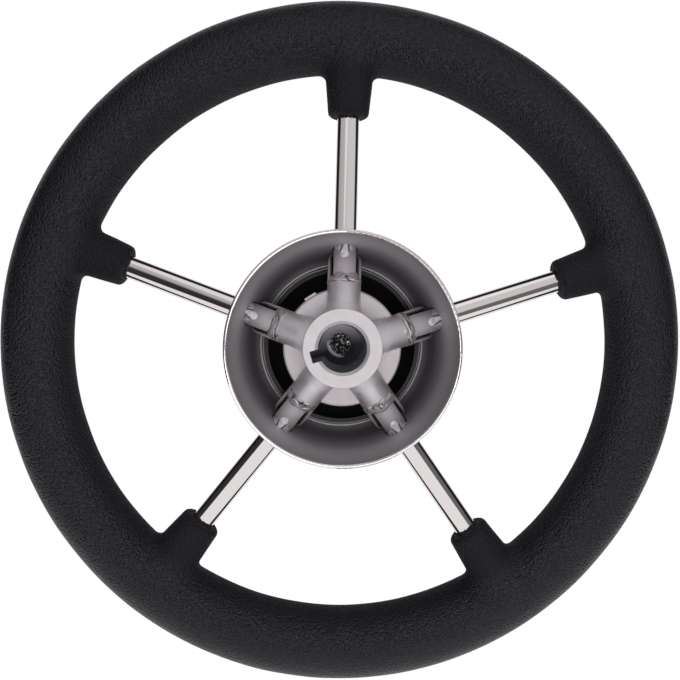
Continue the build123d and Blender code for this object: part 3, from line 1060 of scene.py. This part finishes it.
def moulded_plastic():
    """Black ABS from a polished mould: deep black with a clear shine. The middle of its inside is
    matt, with painted light from the bore; the snap's crest and one side of the sprue's foot carry
    painted pale highlights."""
    material, node, place = start_material("moulded_black_abs")
    inside = facing_rear(node, -0.1, 0.2)
    # Painted light: the light that falls in through the bore, brightest on the upper left of the
    # hollow
    upper = node("ShaderNodeVectorMath", {0: place, 1: (-0.3, 0, 0.95)}, operation="DOT_PRODUCT")
    upper = node("ShaderNodeMapRange", {"Value": upper, "From Min": -2 * MM, "From Max": 8 * MM})
    bore_light = node(
        "ShaderNodeMix", {"Factor": upper, "A": linear("#2e2935"), "B": linear("#f2ecfb")},
        data_type="RGBA",
    )
    bore_lit_middle = node(
        "ShaderNodeMath", {0: from_axle(node, place, 15 * MM, 13 * MM), 1: inside},
        operation="MULTIPLY",
    )
    # Painted highlight: a pale ring along the snap's crest, beside the bell's flange
    crest_highlight = node(
        "ShaderNodeMath",
        {0: from_axle(node, place, 30.85 * MM, 30.95 * MM),
         1: from_axle(node, place, 31.2 * MM, 31.3 * MM)},
        operation="SUBTRACT",
    )
    # Painted highlight on the sprue's foot: a ragged white half of a ring, on the inside only, with
    # a metal glint
    side = node(
        "ShaderNodeVectorMath", {0: place, 1: (-0.14 / MM, 0, -0.144 / MM)},
        operation="DOT_PRODUCT",
    )
    torn = node("ShaderNodeTexNoise", {"Vector": place, "Scale": 1 / (0.7 * MM), "Detail": 3.0})
    ragged = node("ShaderNodeMath", {0: side, 1: torn}, operation="ADD")
    foot_highlight = node("ShaderNodeMapRange", {"Value": ragged, "From Min": 1.05, "From Max": 1.25})
    top = cap_high.y
    for mask in (
        from_axle(node, place, 5.9 * MM, 5.3 * MM),
        along_axle(node, place, top - 1.5 * MM, top - 1.8 * MM),
    ):
        foot_highlight = node("ShaderNodeMath", {0: foot_highlight, 1: mask}, operation="MULTIPLY")
    colour = linear("#1b1b1d")
    for mask, shade in (
        (bore_lit_middle, bore_light), (crest_highlight, linear("#d6d1d7")), (foot_highlight, linear("#e4e2e8")),
    ):
        colour = node("ShaderNodeMix", {"Factor": mask, "A": colour, "B": shade}, data_type="RGBA")
    glint = node("ShaderNodeMath", {0: foot_highlight, 1: 0.7}, operation="MULTIPLY")
    hollow = node(
        "ShaderNodeBsdfPrincipled",
        {"Base Color": colour, "Roughness": 0.4, "IOR": 1.54, "Specular IOR Level": 0.2,
         "Metallic": glint},
    )
    cloud = node("ShaderNodeTexNoise", {"Vector": place, "Scale": 1 / (4 * MM), "Detail": 3.0})
    rough = node(
        "ShaderNodeMapRange",
        {"Value": cloud, "From Min": 0.3, "From Max": 0.7, "To Min": 0.06, "To Max": 0.1},
    )
    outside = node(
        "ShaderNodeBsdfPrincipled",
        {"Base Color": linear("#0a0a0b"), "Roughness": rough, "IOR": 1.54},
    )
    surface = node("ShaderNodeMixShader", {"Fac": inside, 1: outside, 2: hollow})
    return finished(material, surface)


def broken_plastic():
    """The same ABS where the sprue snapped off: torn crests, whitened by the strain, glint out of
    black pits."""
    material, node, place = start_material("torn_black_abs")
    tears = node("ShaderNodeTexNoise", {"Vector": place, "Scale": 1 / (0.75 * MM), "Detail": 3.0})
    white = node("ShaderNodeMapRange", {"Value": tears, "From Min": 0.53, "From Max": 0.6})
    colour = node(
        "ShaderNodeMix", {"Factor": white, "A": linear("#070708"), "B": linear("#fafafc")},
        data_type="RGBA",
    )
    glint = node("ShaderNodeMath", {0: white, 1: 0.9}, operation="MULTIPLY")
    surface = node(
        "ShaderNodeBsdfPrincipled",
        {"Base Color": colour, "Roughness": 0.3, "IOR": 1.54, "Metallic": glint},
    )
    return finished(material, surface)


class WHEEL_OT_cap(Operator):
    """Finishes the centre cap and makes the rough break of its sprue"""

    bl_idname = "wheel.cap"
    bl_label = "Centre cap"

    def execute(self, context):
        cap = context.scene.wheel_cap
        finish_node("centre_cap", moulded_plastic())
        floor = cap_high.y - cap.break_depth
        rings, around = 26, 96
        raised_side = math.radians(250)
        points = [Vector((0, floor - cap.break_height / 2, 0))]
        for i in range(1, rings + 1):
            share = i / rings
            for j in range(around):
                turn = 2 * math.pi * j / around
                flat = Vector((math.cos(turn), 0, math.sin(turn))) * cap.break_radius * share
                torn = 0.5 + 0.5 * noise.fractal(flat / (0.9 * MM), 1.0, 2.0, 3)
                lip = max(0, math.cos(turn - raised_side)) * max(0, share - 0.8) * 5
                height = cap.break_height * max(torn + 0.5 * lip, 0) * min(1, 12 * (1 - share))
                points.append(flat + Vector((0, floor - height + 0.1 * MM, 0)))
        faces = [(0, 1 + j, 1 + (j + 1) % around) for j in range(around)]
        faces += tube_faces(rings, around, 1)
        faces.append(tuple(1 + (rings - 1) * around + j for j in reversed(range(around))))
        new_piece("sprue_break", points, faces, broken_plastic())
        return {"FINISHED"}


# Stage


def studio_world(settings):
    """White to the eye. For light and reflections it is a studio: a bright ceiling, dark walls
    on both sides, a dark spot where the camera stands, and the white backdrop behind the wheel."""
    world = bpy.data.worlds.new("studio")
    world.use_nodes = True
    world.node_tree.nodes.clear()
    node = partial(add_node, world.node_tree)
    path = node("ShaderNodeLightPath")
    direction = node("ShaderNodeTexCoord").outputs["Generated"]
    level = node("ShaderNodeSeparateXYZ", {0: direction})
    # Axis of the direction, where along it the light changes, and its strength on both sides
    lit = 1.0
    for axis, low, high, before, after in (
        ("X", -0.8, 0.4, 0.54, 0.76), ("Y", 0.05, 0.32, 1.0, 0.04), ("Y", -0.997, -0.98, 0.1, 1.0),
    ):
        part = node(
            "ShaderNodeMapRange",
            {"Value": level.outputs[axis], "From Min": low, "From Max": high, "To Min": before,
             "To Max": after},
            interpolation_type="SMOOTHSTEP",
        )
        lit = node("ShaderNodeMath", {0: lit, 1: part}, operation="MULTIPLY")
    # Each dark wall: where across the direction it stands, how high it is and how dark
    for outer, inner, foot, top, shade in (
        (-0.68, -0.52, 0.22, 0.58, 0.93), (0.68, 0.52, 0.06, 0.22, 0.78),
    ):
        across = node(
            "ShaderNodeMapRange",
            {"Value": level.outputs["X"], "From Min": inner, "From Max": outer, "To Max": shade},
            interpolation_type="SMOOTHSTEP",
        )
        height = node(
            "ShaderNodeMapRange",
            {"Value": level.outputs["Z"], "From Min": foot, "From Max": top, "To Min": 1.0,
             "To Max": 0.0},
            interpolation_type="SMOOTHSTEP",
        )
        wall = node("ShaderNodeMath", {0: across, 1: height}, operation="MULTIPLY")
        spared = node("ShaderNodeMath", {0: 1.0, 1: wall}, operation="SUBTRACT")
        lit = node("ShaderNodeMath", {0: lit, 1: spared}, operation="MULTIPLY")
    behind = node(
        "ShaderNodeMapRange",
        {"Value": level.outputs["Y"], "From Min": 0.68, "From Max": 0.88, "To Max": 0.9},
        interpolation_type="SMOOTHSTEP",
    )
    lit = node("ShaderNodeMath", {0: lit, 1: behind}, operation="ADD")
    studio = node("ShaderNodeBackground", {"Color": (1, 1, 1, 1), "Strength": lit})
    white = node("ShaderNodeBackground", {"Color": settings.white, "Strength": 1.0})
    seen = path.outputs["Is Camera Ray"]
    for ray in ("Is Glossy Ray", "Is Transmission Ray"):
        backdrop = node("ShaderNodeMath", {0: path.outputs[ray], 1: behind}, operation="MULTIPLY")
        seen = node("ShaderNodeMath", {0: seen, 1: backdrop}, operation="MAXIMUM")
    mixed = node("ShaderNodeMixShader", {"Fac": seen, 1: studio, 2: white})
    node("ShaderNodeOutputWorld", {"Surface": mixed})
    return world


def pale_floor(settings):
    """White paper sweep, matt, which the camera sees at nearly full white."""
    material, node, _ = start_material("white_paper_sweep")
    path = node("ShaderNodeLightPath")
    paper = node(
        "ShaderNodeBsdfPrincipled", {"Base Color": (0.86, 0.86, 0.86, 1.0), "Roughness": 0.9}
    )
    glow = node("ShaderNodeEmission", {"Color": settings.white, "Strength": 1.08})
    seen = path.outputs["Is Camera Ray"]
    for ray in ("Is Glossy Ray", "Is Transmission Ray"):
        seen = node("ShaderNodeMath", {0: seen, 1: path.outputs[ray]}, operation="MAXIMUM")
    # The rest is paper, which keeps the wheel's shadow
    share = node("ShaderNodeMath", {0: seen, 1: 0.9}, operation="MULTIPLY")
    surface = node("ShaderNodeMixShader", {"Fac": share, 1: paper, 2: glow})
    return finished(material, surface)


def soft_lamp(name, place, aim, width, height, power):
    """A rectangular lamp turned to its aim, with its sides in metres and its power in watts."""
    lamp = bpy.data.lights.new(name, "AREA")
    lamp.shape = "RECTANGLE"
    lamp.size = width
    lamp.size_y = height
    lamp.energy = power
    lamp_object = bpy.data.objects.new(name, lamp)
    lamp_object.location = place
    lamp_object.rotation_euler = (Vector(aim) - Vector(place)).to_track_quat("-Z", "Y").to_euler()
    bpy.context.scene.collection.objects.link(lamp_object)


class WHEEL_OT_stage(Operator):
    """Sets the camera, the soft studio light and the pale floor"""

    bl_idname = "wheel.stage"
    bl_label = "Stage"

    def execute(self, context):
        stage = context.scene.wheel_stage
        scene = context.scene
        scene.view_settings.view_transform = "Standard"
        scene.world = studio_world(stage)
        low, high = cad_box
        near, half, far = stage.floor_near, stage.floor_width / 2, stage.floor_far
        floor = bpy.data.meshes.new("floor")
        level = low.z - stage.floor_gap
        corners = [(-half, -near), (half, -near), (half, far), (-half, far)]
        floor.from_pydata([(x, y, level) for x, y in corners], [], [(0, 1, 2, 3)])
        floor.materials.append(pale_floor(stage))
        sheet = bpy.data.objects.new("floor", floor)
        scene.collection.objects.link(sheet)
        for name, place, aim, width, height, power in (
            ("front_softbox", (0.05, -0.9, -0.2), (0, 0, 0.02), 1.0, 0.28, 2.8),
            ("top_softbox", (0.1, -0.1, 1.3), (0, 0.05, 0), 2.0, 1.0, 2.0),
        ):
            soft_lamp(name, place, aim, width, height, power)
        camera = bpy.data.cameras.new("camera")
        camera.sensor_width = 36
        camera.lens = stage.focal_length
        camera_object = bpy.data.objects.new("camera", camera)
        turn = Matrix.Rotation(-stage.camera_turn, 4, "Z")
        tilt = Matrix.Rotation(math.pi / 2 + stage.camera_tilt, 4, "X")
        roll = Matrix.Rotation(stage.camera_roll, 4, "Z")
        camera_object.matrix_world = Matrix.Translation(stage.camera_place) @ turn @ tilt @ roll
        scene.collection.objects.link(camera_object)
        scene.camera = camera_object
        return {"FINISHED"}


class WHEEL_PT_panel(Panel):
    """Lists the wheel's pieces"""

    bl_idname = "WHEEL_PT_panel"
    bl_label = "Steering Wheel"
    bl_space_type = "VIEW_3D"
    bl_region_type = "UI"
    bl_category = "Steering Wheel"

    def draw(self, context):
        for operator in OPERATORS:
            self.layout.operator(operator.bl_idname)


OPERATORS = (
    WHEEL_OT_stage, WHEEL_OT_grip, WHEEL_OT_spokes, WHEEL_OT_hub, WHEEL_OT_beads, WHEEL_OT_bell,
    WHEEL_OT_cap,
)
GROUPS = {
    "wheel_spokes": SpokeSizes,
    "wheel_grip": GripSizes,
    "wheel_hub": HubSizes,
    "wheel_beads": BeadSizes,
    "wheel_bell": BellSizes,
    "wheel_cap": CapSizes,
    "wheel_stage": StageSettings,
}


def register():
    for group in GROUPS.values():
        bpy.utils.register_class(group)
    for operator in OPERATORS:
        bpy.utils.register_class(operator)
    bpy.utils.register_class(WHEEL_PT_panel)
    for name, group in GROUPS.items():
        setattr(bpy.types.Scene, name, PointerProperty(type=group))


def unregister():
    for name in GROUPS:
        delattr(bpy.types.Scene, name)
    bpy.utils.unregister_class(WHEEL_PT_panel)
    for operator in reversed(OPERATORS):
        bpy.utils.unregister_class(operator)
    for group in GROUPS.values():
        bpy.utils.unregister_class(group)


def main():
    register()
    bpy.ops.wheel.stage()
    bpy.ops.wheel.grip()
    bpy.ops.wheel.spokes()
    bpy.ops.wheel.hub()
    bpy.ops.wheel.beads()
    bpy.ops.wheel.bell()
    bpy.ops.wheel.cap()
    bpy.context.view_layer.update()


if __name__ == "__main__":
    main()
